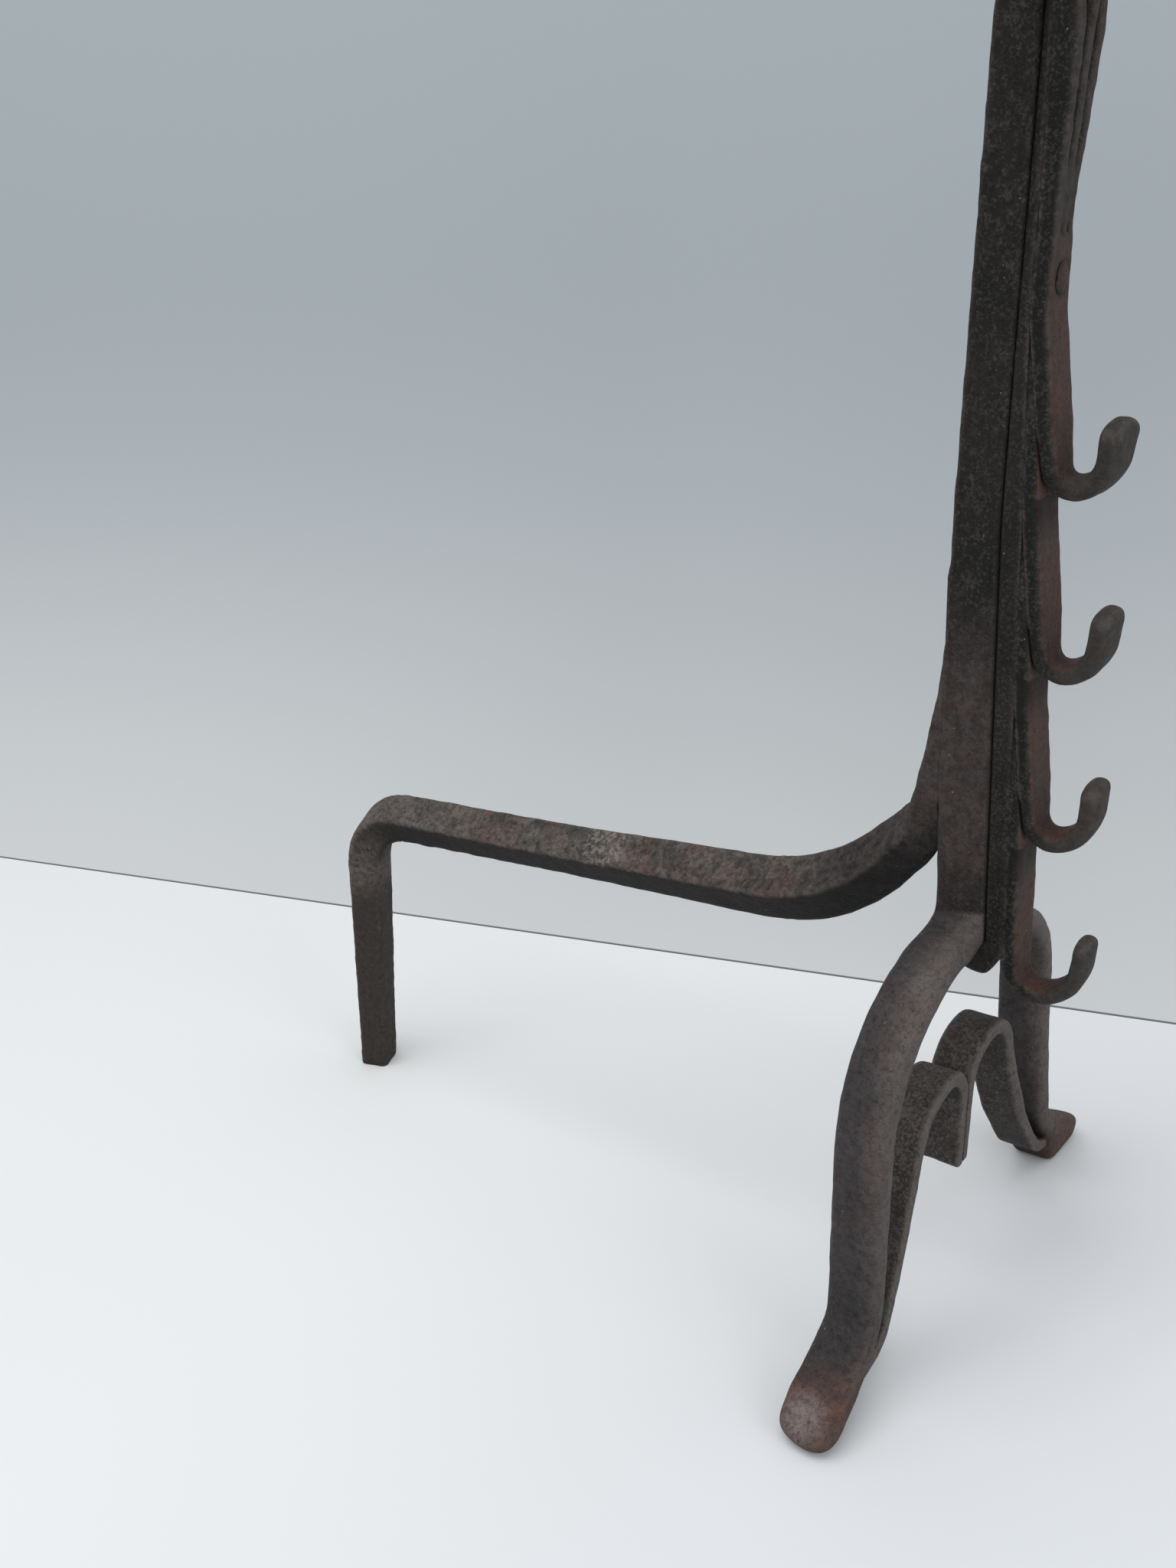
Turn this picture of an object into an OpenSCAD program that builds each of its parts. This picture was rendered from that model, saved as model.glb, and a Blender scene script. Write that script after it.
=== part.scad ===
// Forged andiron: a column of welded bars with four spit hooks, two arched legs,
// a log bar with its own rear foot, and a basket of spread prongs on top.
// The hooks face -Y, the log bar runs towards +Y and +Z is up. The origin is on
// the floor, at the middle of the box that holds the whole andiron.

/* [Column] */
// Width of the column from side to side
column_w = 26; // [22:1:32]
// Depth of a leg bar where it stands in the column
leg_bar_d = 27; // [24:1:32]
// Depth that the leg bars are drawn down to at the top of the log bar's weld
leg_bar_mid_d = 23.5; // [20:0.5:24]
// Depth of the leg bars where the basket begins
leg_bar_top_d = 21; // [16:0.5:23]
// Thickness of the core bar between the legs and the hooks
core_t = 10; // [8:0.5:12]
// Thickness that the core bar is drawn down to behind the slit bar
core_top_t = 5.5; // [4:0.5:7]
// Height where the column ends and its bars part
column_top_z = 652; // [640:1:660]
// Height of the core bar's rounded bottom end
core_bottom_z = 199; // [194:1:205]
// Forward lean of the upper column, in degrees
upper_lean = 2.4; // [0:0.2:4]
// Radius of the edges where bars are welded side by side
edge_r = 1.4; // [0.8:0.2:2.4]
// Radius of the rounder edges on hooks, legs and log bar
worn_edge_r = 3; // [1.4:0.2:3.6]

/* [Spit hooks] */
// Height of the bottom hook's underside
hook_base_z = 194; // [190:1:215]
// Spacing of the four hooks
hook_pitch = 86; // [80:1:92]
// Thickness of the bottom hook's bar
bottom_hook_t = 6.5; // [5:0.5:9]
// Thickness of the top hook's bar
top_hook_t = 8; // [6:0.5:10]
// Width of a hook at the bottom of its bend
hook_neck_w = 19; // [14:1:24]
// Width of the bottom hook's tip
bottom_tip_w = 19; // [14:1:24]
// Width of the top hook's tip
top_tip_w = 30; // [20:1:34]
// How much thicker than its bar a hook's tip is
tip_upset = 1.6; // [0:0.2:3]
// Distance from the core bar to the middle of a hook's tip
hook_reach = 38; // [34:1:44]
// Rise of a hook's bottom towards its tip, in degrees
hook_slope = 24; // [10:1:26]
// Height of a hook's tip over its underside
hook_rise = 37; // [34:1:44]
// Length of the thinned end that is welded under the next hook
scarf_l = 70; // [50:1:76]

/* [Legs] */
// Distance from the middle to the outside of a leg
leg_half_span = 112; // [95:1:130]
// Thickness of a leg
leg_t = 13; // [10:0.5:16]
// Height of the crease where the legs leave the column
crease_z = 231; // [220:1:240]
// Height of the shoulder's corner, before it is rounded
shoulder_z = 194; // [180:1:205]
// Radius of the shoulder
shoulder_r = 75; // [50:1:85]
// Height of the ankle's corner
ankle_z = 39; // [34:1:46]
// Radius of the ankle's bend
ankle_r = 24; // [14:1:30]
// Distance from the middle to the end of a toe
toe_half_span = 163; // [155:1:185]
// Width of the spread toe
toe_w = 33; // [28:1:40]
// Thickness of the toe at its end
toe_t = 9.5; // [6:0.5:11]
// How far the feet stand back from the column
leg_rake = 13; // [0:0.5:16]

/* [Scrolls] */
// Thickness of the inner scrolls
scroll_t = 8.5; // [7:0.5:10]
// Width of the inner scrolls
scroll_w = 24; // [20:1:28]
// Height of the scroll arch's top
scroll_top_z = 148; // [140:1:160]
// Radius of the scroll arch's inner half, at the middle of the bar
scroll_r = 23; // [20:1:25]
// Height of the cut ends that hang in the middle
scroll_end_z = 77; // [65:1:95]

/* [Log bar] */
// Side of the square log bar
log_bar_s = 24; // [18:1:28]
// Distance from the core bar to the middle of the rear foot
log_bar_l = 457; // [400:1:560]
// Height of the log bar's axis over its rear foot
log_bar_rear_z = 201; // [180:1:208]
// Fall of the log bar towards the rear, in degrees
log_bar_fall = 3.2; // [0:0.1:4]
// Radius of the rear bend, at the middle of the bar
rear_bend_r = 42; // [28:1:50]
// How far the rear foot splays back
rear_foot_splay = 21; // [0:1:40]
// Side of the rear foot where it stands on the floor
rear_foot_s = 20; // [14:1:26]

/* [Basket] */
// Radius of the basket's rim, at the middle of the prongs
rim_r = 70; // [60:1:85]
// Height of the prong tips
basket_top_z = 812; // [790:1:840]
// How far the bottom edge of the rim hoop lies under the prong tips
rim_drop = 47; // [44:1:56]
// Height of the slits' lower ends over the top hook's weld
slit_rise = 33; // [30:1:50]
// Width of the slits between the front prongs
slit_w = 1; // [0.8:0.1:2]
// Width of a prong where it is riveted to the hoop
prong_w = 12; // [9:0.5:14]
// Thickness of a prong where it is riveted to the hoop
prong_t = 7; // [5:0.5:9]
// Height of the rim hoop's band
hoop_h = 18; // [14:1:22]
// Thickness of the rim hoop's band
hoop_t = 4.5; // [3:0.5:6]
// Thickness of the round ring inside the basket's waist
ring_d = 8; // [6:0.5:10]

/* [Rivets] */
// Diameter of the rim rivets
rim_rivet_d = 5; // [4:0.5:6]
// Diameter of the column rivet's shank
column_rivet_d = 8; // [6:0.5:10]
// Diameter of the column rivet's head
column_head_d = 15; // [12:0.5:18]
// Height of the column rivet over the top hook's weld
rivet_rise = 15; // [12:1:16]
// Clearance round a rivet's shank
rivet_gap = 0.1; // [0.05:0.05:0.2]
// Clearance between a curved face and the face that it rests on
seat_gap = 0.2; // [0.1:0.05:0.4]

/* [Hidden] */
$fn = 64;

side = [1, 0, 0];             // the width of hooks and core lies along this
fore_aft = [0, 1, 0];         // the width of legs and scrolls lies along this
bend_step = 9;                // degrees of bend between two sections
twist_step = 8;               // degrees of twist between two sections
iron = "#3a302b";             // forge-black iron with a brown cast
hook_iron = "#4a372d";        // redder, on the fronts of the hooks
worn_iron = "#4a3d36";        // worn lighter, where it is handled
burnt_iron = "#2b2725";       // near black, over the fire

half_w = column_w / 2;
leg_mid_x = half_w / 2;                        // a leg bar fills half of the column
leg_x = leg_half_span - leg_t / 2;             // middle of a leg below its shoulder
scarf_foot = 4;                                // start of a scarf over the next hook
scarf_tip_t = 0.6;                             // a scarf is hammered out to this
scarf_tip_w = 0.8 * column_w;
function hook_z(k) = hook_base_z + k * hook_pitch;          // 0 is the bottom hook
function hook_t(k) = mix(bottom_hook_t, top_hook_t, k / 3);
function tip_w(k) = mix(bottom_tip_w, top_tip_w, k / 3);
function scarf_end_z(k) = hook_z(k) + scarf_foot + scarf_l; // end of the scarf under hook k
lean_z = scarf_end_z(2);
scarf_cover = 4;
core_thin_z = scarf_end_z(3) + scarf_cover;    // the core bar is drawn thin by this height
column_rivet_z = core_thin_z + rivet_rise;
slit_z = core_thin_z + slit_rise;              // here the front bar is slit into three prongs
rim_z = basket_top_z - rim_drop;

// The seam between the legs and the core bar, and the front of the core bar
function seam_y(z) = -tan(upper_lean) * max(0, z - lean_z);
function core_depth(z) = lookup(z, [[lean_z, core_t], [core_thin_z, core_top_t]]);
function core_front(z) = seam_y(z) - core_depth(z);

// ---- Bars are forged from marks: a place on the axis, a width, a thickness, the
// ---- radius of the bend at that place, the direction of the width, the degrees that
// ---- the section is turned from it, and the radius of the edges.
function mark(at, w, t, bend = 0, across = side, roll = 0, edge = edge_r) =
    [at, w, t, bend, across, roll, edge];
AT = 0;
WIDTH = 1;
THICK = 2;
BEND = 3;
ACROSS = 4;
ROLL = 5;
EDGE = 6;

function unit(v) = v / norm(v);
function mix(a, b, f) = a + (b - a) * f;
function run(m, i) = m[i + 1][AT] - m[i][AT];
function last(m) = len(m) - 1;

// A section value at a place between two marks; 2.5 is halfway from mark 2 to mark 3
function between(m, place, field) =
    let (i = min(max(floor(place), 0), last(m) - 1))
    mix(m[i][field], m[i + 1][field], place - i);

// Stations along mark i: one at an end or a sharp corner, an arc of them at a bend, which
// takes up no more than its share of the shorter run beside it
BEND_ROOM = 0.9;
function bend_stations(m, i) =
    i == 0 ? [[m[0][AT], unit(run(m, 0)), 0]] :
    i == last(m) ? [[m[i][AT], unit(run(m, i - 1)), i]] :
    let (from = unit(run(m, i - 1)),
         to = unit(run(m, i)),
         turn = acos(min(1, from * to)),
         room = BEND_ROOM * min(norm(run(m, i - 1)), norm(run(m, i))),
         r = turn < 0.5 ? 0 : min(m[i][BEND], room / tan(turn / 2)))
    r == 0 ? [[m[i][AT], unit(from + to), i]] :
    let (cut = r * tan(turn / 2),
         inward = unit(to - (from * to) * from),
         centre = m[i][AT] - cut * from + r * inward,
         steps = ceil(turn / bend_step))
    [for (k = [0:steps])
        let (a = turn * k / steps,
             f = 2 * k / steps - 1)
        [centre + r * (sin(a) * from - cos(a) * inward),
         cos(a) * from + sin(a) * inward,
         i + f * cut / norm(run(m, f < 0 ? i - 1 : i))]];

// Extra stations on the straight run after mark i, where the bar is twisted
function twist_stations(m, i, start, end) =
    let (twist = acos(min(1, unit(m[i][ACROSS]) * unit(m[i + 1][ACROSS])))
                 + abs(m[i + 1][ROLL] - m[i][ROLL]),
         steps = ceil(twist / twist_step))
    [for (k = [1:1:steps - 1])
        [mix(start[0], end[0], k / steps), start[1], mix(start[2], end[2], k / steps)]];

function stations(m) =
    [for (i = [0:last(m)])
        let (here = bend_stations(m, i))
        each i == last(m) ? here :
            concat(here, twist_stations(m, i, here[len(here) - 1], bend_stations(m, i + 1)[0]))];

// The outline of a bar's section, as twelve points with rounded corners
SECTION_POINTS = 12;
function section(w, t, edge) =
    let (r = min(edge, 0.45 * min(w, t)))
    [for (corner = [0:3], k = [0:2])
        let (a = 90 * corner + 45 * k,
             sx = corner == 0 || corner == 3 ? 1 : -1,
             sy = corner < 2 ? 1 : -1)
        [sx * (w / 2 - r) + r * cos(a), sy * (t / 2 - r) + r * sin(a)]];

function ring(m, station) =
    let (way = station[1],
         wish = between(m, station[2], ACROSS),
         flat = unit(wish - (wish * way) * way),
         roll = between(m, station[2], ROLL),
         across = cos(roll) * flat + sin(roll) * cross(way, flat),
         through = cross(way, across))
    [for (p = section(between(m, station[2], WIDTH), between(m, station[2], THICK),
                      between(m, station[2], EDGE)))
        station[0] + p[0] * across + p[1] * through];

// A mark whose edges are hammered rounder
function worn(m) = mark(m[AT], m[WIDTH], m[THICK], m[BEND], m[ACROSS], m[ROLL], worn_edge_r);

// A tip whose outline is rounded over the last stretch of the bar
function round_tip(m, depth) =
    let (end = m[last(m)],
         way = unit(run(m, last(m) - 1)))
    concat([for (i = [0:last(m) - 1]) m[i]],
           [for (a = [0, 24, 44, 60, 74])
               mark(end[AT] - way * depth * (1 - sin(a)), end[WIDTH] * cos(a),
                    end[THICK] * mix(0.6, 1, cos(a)), 0, end[ACROSS], 0, end[EDGE])]);

// A forged bar, lofted through a ring of points at each station
module forged_bar(m) {
    s = stations(m);
    n = SECTION_POINTS;
    points = [for (station = s) each ring(m, station)];
    sides = [for (i = [0:len(s) - 2], j = [0:n - 1])
        let (a = i * n + j,
             b = i * n + (j + 1) % n)
        each [[a, a + n, b + n], [a, b + n, b]]];
    first_cap = [[for (j = [0:n - 1]) j]];
    last_cap = [[for (j = [n - 1:-1:0]) (len(s) - 1) * n + j]];
    polyhedron(points, concat(sides, first_cap, last_cap), convexity = 8);
}

// What stands on the floor is worn flat where it touches it
FLOOR_SIZE = 1500;
FLOOR_DEPTH = 60;

module worn_flat() {
    difference() {
        children();
        translate([-FLOOR_SIZE / 2, -FLOOR_SIZE / 2, -FLOOR_DEPTH])
            cube([FLOOR_SIZE, FLOOR_SIZE, FLOOR_DEPTH]);
    }
}

// ---- Basket: five prongs stand evenly round the rim, each drawn from a column bar
basket_y = seam_y(column_top_z) - 1;
spread_h = rim_z - column_top_z;               // the height that the prongs have to spread in
NECK_SHARE = 0.177;                            // they run on close together for this much of it
spread_z = column_top_z + NECK_SHARE * spread_h;
spread_r = 14;
BELLY_SHARE = 0.2655;                          // and turn up again under the rim
belly_z = rim_z - BELLY_SHARE * spread_h;
prong_slope = atan((rim_r - spread_r) / (belly_z - spread_z));
BELLY_ROOM = 0.57;                             // of the way up to the rim is the bend's
belly_r = BELLY_ROOM * (rim_z - belly_z) / tan(prong_slope / 2);
curl_gap = 8;
curl_z = rim_z + hoop_h + curl_gap;            // where the tips curl outwards
curl_out = 15;
curl_r = 12;
curl_w = prong_w + 1;                          // the tips are flattened as they curl
curl_t = prong_t - 2;
FRONT = -90;
FRONT_SIDE = -18;
BACK_SIDE = 54;
function rim_at(angle, r, z) = [r * cos(angle), basket_y + r * sin(angle), z];
function rim_tangent(angle) = [-sin(angle), cos(angle), 0];

function prong_marks(angle) =
    let (lie = rim_tangent(angle))
    concat([mark(rim_at(angle, spread_r, spread_z), prong_w, prong_t, belly_r, lie),
            mark(rim_at(angle, rim_r, belly_z), prong_w, prong_t, belly_r, lie)],
           round_tip([mark(rim_at(angle, rim_r, curl_z), prong_w, prong_t, curl_r, lie),
                      mark(rim_at(angle, rim_r + curl_out, basket_top_z), curl_w, curl_t, 0, lie)],
                     prong_w / 2));

rivet_z = rim_z + hoop_h / 2;
rivet_angles = [FRONT, FRONT_SIDE, BACK_SIDE, 180 - BACK_SIDE, 180 - FRONT_SIDE];
hoop_outer_r = rim_r - prong_t / 2 - seat_gap;
hoop_inner_r = hoop_outer_r - hoop_t;

module at_rim(angle) {
    translate([0, basket_y, rivet_z]) rotate([0, 90, angle]) children();
}

module rim_rivet_hole(angle) {
    at_rim(angle) translate([0, 0, rim_r / 2]) cylinder(d = rim_rivet_d + 2 * rivet_gap, h = rim_r);
}

// ---- Hooks: each bar's thinned top end is welded under the hook above it.
// ---- The function gives the middle of a hook's bar where it lies over the scarf.
function scarf_t(k, z) =
    k == 0 ? 0 :
    mix(hook_t(k - 1), scarf_tip_t, (z - hook_z(k) - scarf_foot) / scarf_l);
function stem_y(k, z) = core_front(max(z, hook_z(k))) - scarf_t(k, z) - hook_t(k) / 2;
function tip_y(k) = core_front(hook_z(k)) - hook_reach;
tip_uneven = 2;                                // the lower tips stand a little higher
function tip_z(k) = hook_z(k) + hook_rise + mix(tip_uneven, -tip_uneven, k / 3);
tip_lean = 3;                                  // the tips open outwards by this much
BEND_SHARE = 0.38;                             // the bar turns tightly under its stem
THROAT_SHARE = 0.66;                           // and more gently up to the tip
SPREAD_SHARE = 0.4;                            // of the tip's spread is reached in the throat
TIP_ROUND = 0.2;                               // of a tip's width is taken by its round end
STRAIGHT_RISE = 3;                             // bend radii up to where the stem is straight

function hook_marks(k) =
    let (t = hook_t(k),
         thick = t + tip_upset,
         stem = stem_y(k, hook_z(k) + t / 2),
         front = tip_y(k) + tip_lean,
         span = (stem - front) / cos(hook_slope),
         bend_r = BEND_SHARE * span,
         dip = bend_r * (tan((90 + hook_slope) / 2) - 1),
         low = hook_z(k) + t / 2 - dip,
         throat_z = low + (stem - front) * tan(hook_slope),
         throat_w = mix(hook_neck_w, tip_w(k), SPREAD_SHARE),
         tip = round_tip([worn(mark([0, front, throat_z], throat_w, thick, THROAT_SHARE * span)),
                          worn(mark([0, tip_y(k), tip_z(k)], tip_w(k), thick))],
                         TIP_ROUND * tip_w(k)),
         stem_z = low + STRAIGHT_RISE * bend_r,
         top = scarf_end_z(k))
    concat([for (i = [last(tip):-1:0]) tip[i]],
           [worn(mark([0, stem, low], hook_neck_w, mix(t, thick, 0.5), bend_r)),
            mark([0, stem_y(k, stem_z), stem_z], column_w, t),
            mark([0, stem_y(k, top), top], column_w, t)]);

module welded_hook(k) {
    over = hook_z(k + 1) + scarf_foot;
    end = scarf_end_z(k + 1);
    color(hook_iron) forged_bar(concat(hook_marks(k),
        [mark([0, core_front(over) - hook_t(k) / 2, over], column_w, hook_t(k)),
         mark([0, core_front(end) - scarf_tip_t / 2, end], scarf_tip_w, scarf_tip_t)]));
}

module bottom_hook() {
    welded_hook(0);
}

module third_hook() {
    welded_hook(1);
}

module second_hook() {
    welded_hook(2);
}

// The top hook's bar runs on up the column and is slit into three prongs
fork_t = hook_t(3);
fork_w = column_w - 4;                         // it narrows between rivet and slits
tine_w = (fork_w - 2 * slit_w) / 3;
tine_x = tine_w + slit_w;
tine_open = 5;                                 // the tines part by this much
tine_forward = 5;                              // their fronts lean forward by this much
tine_top_t = fork_t + tine_forward;            // so they are deeper at the top of the column
tine_bend = 60;
root_z = slit_z - 12;                          // the tines' roots lie inside the bar
root_shrink = 0.6;                             // on every side
free_z = slit_z + 15;                          // from here up the tines have their full size
slit_end_d = 2.6;                              // round hole at the bottom of a slit
function fork_y(z) = core_front(z) - fork_t / 2;
tine_top_y = fork_y(column_top_z) - tine_forward / 2;

function middle_tine() =
    let (root_w = tine_w - 2 * root_shrink,
         root_t = fork_t - 2 * root_shrink)
    concat([mark([0, fork_y(root_z), root_z], root_w, root_t),
            mark([0, fork_y(free_z), free_z], tine_w, fork_t, tine_bend),
            mark([0, tine_top_y, column_top_z], tine_w, tine_top_t, tine_bend)],
           prong_marks(FRONT));

function side_tine() =
    let (root_w = tine_w - 2 * root_shrink,
         root_t = fork_t - 2 * root_shrink)
    concat([mark([tine_x, fork_y(root_z), root_z], root_t, root_w, 0, fore_aft),
            mark([tine_x, fork_y(free_z), free_z], fork_t, tine_w, tine_bend, fore_aft),
            mark([tine_x + tine_open, tine_top_y, column_top_z],
                 tine_top_t, tine_w, tine_bend, fore_aft)],
           prong_marks(FRONT_SIDE));

module slit_end(x) {
    translate([x, 0, slit_z]) rotate([90, 0, 0]) cylinder(d = slit_end_d, h = column_w, $fn = 24);
}

module top_hook_fork() {
    color(hook_iron) difference() {
        union() {
            forged_bar(concat(hook_marks(3), [mark([0, fork_y(core_thin_z), core_thin_z], column_w, fork_t),
                                              mark([0, fork_y(slit_z), slit_z], fork_w, fork_t)]));
            forged_bar(middle_tine());
            forged_bar(side_tine());
            mirror(side) forged_bar(side_tine());
        }
        slit_end(tine_x / 2);
        slit_end(-tine_x / 2);
        column_rivet_hole();
        for (angle = [FRONT, FRONT_SIDE, 180 - FRONT_SIDE]) rim_rivet_hole(angle);
    }
}

// ---- Core bar: it fills the column in front of the legs, and its rounded lower end
// ---- is bent back under their crotch
nub_back = 12;                                 // how far the lower end is bent back
nub_turn_z = crease_z - nub_back;              // where it starts to bend back
nub_bend = 8;
nub_w = column_w - 4;
nub_t = core_t + 7;                            // and upset to this thickness
core_w = column_w - 1;
core_end_z = column_top_z + 6;                 // its thinned top ends inside the prongs
core_end_w = column_w - 6;
function core_mark(z, w) = mark([0, core_front(z) + core_depth(z) / 2, z], w, core_depth(z));

module core_bar() {
    marks = round_tip([core_mark(core_end_z, core_end_w),
                       core_mark(core_thin_z, core_w),
                       core_mark(lean_z, core_w),
                       mark([0, -core_t / 2, nub_turn_z], core_w, core_t, nub_bend),
                       worn(mark([0, nub_back - nub_t / 2, core_bottom_z], nub_w, nub_t))],
                      half_w);
    color(iron) difference() {
        forged_bar(marks);
        column_rivet_hole();
        column_rivet_countersink(rivet_gap);
    }
}

// ---- Legs: each is one long bar, from a back prong of the basket to a spread toe
log_weld_z = 285;                              // bottom of the log bar's weld
crease_r = 9;
RAKE_CURVE = 0.6;                              // the legs fall back most just under the crease
function leg_back(z) = lookup(z, [[log_weld_z, leg_bar_d], [lean_z, leg_bar_mid_d]]);
function leg_y(z) = leg_bar_d / 2 + leg_rake * pow((crease_z - z) / crease_z, RAKE_CURVE);
function column_mark(z, d) = mark([leg_mid_x, seam_y(z) + d / 2, z], d, half_w, 0, fore_aft);

leg_shoulder_w = leg_bar_d + 2;
leg_ankle_w = leg_bar_d + 1;
toe_mid_z = toe_t / 2;                         // the toe's end lies on the floor
toe_run = toe_half_span - leg_x;
TOE_SPREAD = 0.6;                              // share of the toe's run where it is spread
toe_slope = atan((ankle_z - toe_mid_z) / toe_run);
function toe_z(x) = ankle_z - (x - leg_x) * tan(toe_slope);
function toe_mark(x, w, t) = worn(mark([x, leg_y(toe_z(x)), toe_z(x)], w, t, 0, fore_aft));

function leg_marks() =
    concat([column_mark(log_weld_z, leg_bar_d),
            mark([leg_mid_x, leg_y(crease_z), crease_z], leg_bar_d, leg_t, crease_r, fore_aft),
            worn(mark([leg_x, leg_y(shoulder_z), shoulder_z], leg_shoulder_w, leg_t, shoulder_r,
                      fore_aft)),
            worn(mark([leg_x, leg_y(ankle_z), ankle_z], leg_ankle_w, leg_t, ankle_r, fore_aft))],
           round_tip([toe_mark(leg_x + TOE_SPREAD * toe_run, toe_w, mix(leg_t, toe_t, TOE_SPREAD)),
                      toe_mark(toe_half_span, toe_w, toe_t)], toe_w / 3));

function leg_prong_marks() =
    concat([column_mark(lean_z, leg_bar_mid_d),
            column_mark(column_top_z, leg_bar_top_d)],
           prong_marks(BACK_SIDE));

module leg_bar() {
    up = leg_prong_marks();
    color(iron) difference() {
        worn_flat() forged_bar(concat([for (i = [last(up):-1:0]) up[i]], leg_marks()));
        rim_rivet_hole(BACK_SIDE);
    }
}

module right_leg_bar() {
    leg_bar();
}

module left_leg_bar() {
    mirror(side) leg_bar();
}

// ---- Scrolls: thin bars that arch up between the legs and meet back to back. Outside
// ---- the arch each one falls to the foot of its leg and is welded under the toe.
scroll_tip_t = scroll_t - 2;                   // the hanging end is drawn thinner
arch_z = scroll_top_z - scroll_t / 2;
arch_outer_r = scroll_r + 7;                   // the arch opens wider on its way down
arch_far_x = scroll_t / 2 + 2.15 * scroll_r;   // corner of the arch's outer half
scroll_knee_x = leg_x - leg_t - 16;            // where the slope turns towards the leg
scroll_knee_z = 64;
scroll_knee_r = 60;
scroll_foot_x = leg_x - 12;                    // where it turns in under the ankle
scroll_foot_r = 20;
ankle_end_x = leg_x + 6;
scroll_weld_x = leg_x + 0.4 * toe_run;         // where the scroll meets the toe
scroll_end_x = leg_x + 0.62 * toe_run;
scroll_weld_t = scroll_t - 3;                  // it is hammered thin where it is welded
function under_toe(x, t) =
    toe_z(x) - (mix(leg_t, toe_t, (x - leg_x) / toe_run) + t) / 2 / cos(toe_slope);
function scroll_mark(x, z, t, r = 0) = mark([x, leg_y(z), z], scroll_w, t, r, fore_aft);

module scroll_bar() {
    marks = [scroll_mark(scroll_tip_t / 2, scroll_end_z, scroll_tip_t),
             scroll_mark(scroll_t / 2, arch_z, scroll_t, scroll_r),
             scroll_mark(arch_far_x, arch_z, scroll_t, arch_outer_r),
             scroll_mark(scroll_knee_x, scroll_knee_z, scroll_t, scroll_knee_r),
             scroll_mark(scroll_foot_x, under_toe(ankle_end_x, scroll_t), scroll_t, scroll_foot_r),
             scroll_mark(scroll_weld_x, under_toe(scroll_weld_x, scroll_weld_t), scroll_weld_t),
             scroll_mark(scroll_end_x, under_toe(scroll_end_x, scroll_weld_t), scroll_weld_t)];
    color(worn_iron) worn_flat() forged_bar(marks);
}

module right_scroll() {
    scroll_bar();
}

module left_scroll() {
    mirror(side) scroll_bar();
}

// ---- Log bar: its thinned end is welded up the back of the legs, then it is bent level
// ---- and turned an eighth, so that it lies on edge
EIGHTH = 45;
fall = tan(log_bar_fall);
rear_bend_y = log_bar_l - rear_foot_splay;
sag_y = 90;                                    // where the log bar levels out
sag_s = log_bar_s + 4;                         // it is upset thicker there
sag_rise = 1.5;
sag_r = 110;
root_bend_z = 275;                             // where it leaves the column
root_bend_y = leg_bar_d + 11.5;
root_bend_r = 35;
root_w = log_bar_s + 1;
root_t = 0.9 * log_bar_s;
run_y = mix(sag_y, rear_bend_y, 0.5);          // where it is down to its running size
foot_buried = 5;                               // cut off below the floor
foot_rake = 0.5;
function log_axis_z(y) = log_bar_rear_z + fall * (rear_bend_y - y);
function log_mark(y, z, s, r = 0) = worn(mark([0, y, z], s, s, r, side, EIGHTH));

// Heights up the back of the legs, and how thick the welded end is there
weld_steps = [[412, 0.5], [353, 3.5], [324, 8], [300, 13]];
function weld_mark(step) = mark([0, leg_back(step[0]) + step[1] / 2, step[0]], column_w, step[1]);

module log_bar() {
    marks = concat([for (step = weld_steps) weld_mark(step)],
                   [mark([0, root_bend_y, root_bend_z], root_w, root_t, root_bend_r),
                    log_mark(sag_y, log_axis_z(sag_y) + sag_rise, sag_s, sag_r),
                    log_mark(run_y, log_axis_z(run_y), log_bar_s),
                    log_mark(rear_bend_y, log_bar_rear_z, log_bar_s, rear_bend_r),
                    log_mark(log_bar_l, 0, rear_foot_s),
                    log_mark(log_bar_l + foot_rake, -foot_buried, rear_foot_s)]);
    color(burnt_iron) worn_flat() forged_bar(marks);
}

// ---- Rivets
head_h = 2;
countersink_h = 2.5;
countersink_d = column_rivet_d + 5;
drill_l = 50;                                  // long enough to go through every bar
drill_start = 1;

// Square to the leaning faces, from the seam towards the front
module along_rivet() {
    translate([0, seam_y(column_rivet_z), column_rivet_z]) rotate([90 + upper_lean, 0, 0]) children();
}

module column_rivet_hole() {
    along_rivet() translate([0, 0, -drill_start])
        cylinder(d = column_rivet_d + 2 * rivet_gap, h = drill_l);
}

module column_rivet_countersink(gap) {
    along_rivet() cylinder(d1 = countersink_d + 2 * gap, d2 = column_rivet_d + 2 * gap, h = countersink_h);
}

// A low domed head, standing on z = 0
module rivet_head(d, h) {
    dome_r = (d * d / 4 + h * h) / (2 * h);
    rotate_extrude() intersection() {
        translate([0, h - dome_r]) circle(r = dome_r, $fn = 96);
        square([d / 2, h]);
    }
}

module column_rivet() {
    grip = (core_top_t + fork_t) * cos(upper_lean) - rivet_gap;
    color(worn_iron) along_rivet() translate([0, 0, rivet_gap]) {
        cylinder(d = column_rivet_d, h = grip);
        cylinder(d1 = countersink_d, d2 = column_rivet_d, h = countersink_h);
        translate([0, 0, grip]) rivet_head(column_head_d, head_h);
    }
}

// ---- Rim hoop, its rivets, and the ring that braces the prongs lower down
module rim_hoop() {
    color(iron) difference() {
        translate([0, basket_y, rim_z]) rotate_extrude($fn = 128)
            translate([hoop_inner_r, 0]) square([hoop_t, hoop_h]);
        for (angle = rivet_angles) rim_rivet_hole(angle);
    }
}

rim_head_h = 2.5;
rim_tail_h = 2;

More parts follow.
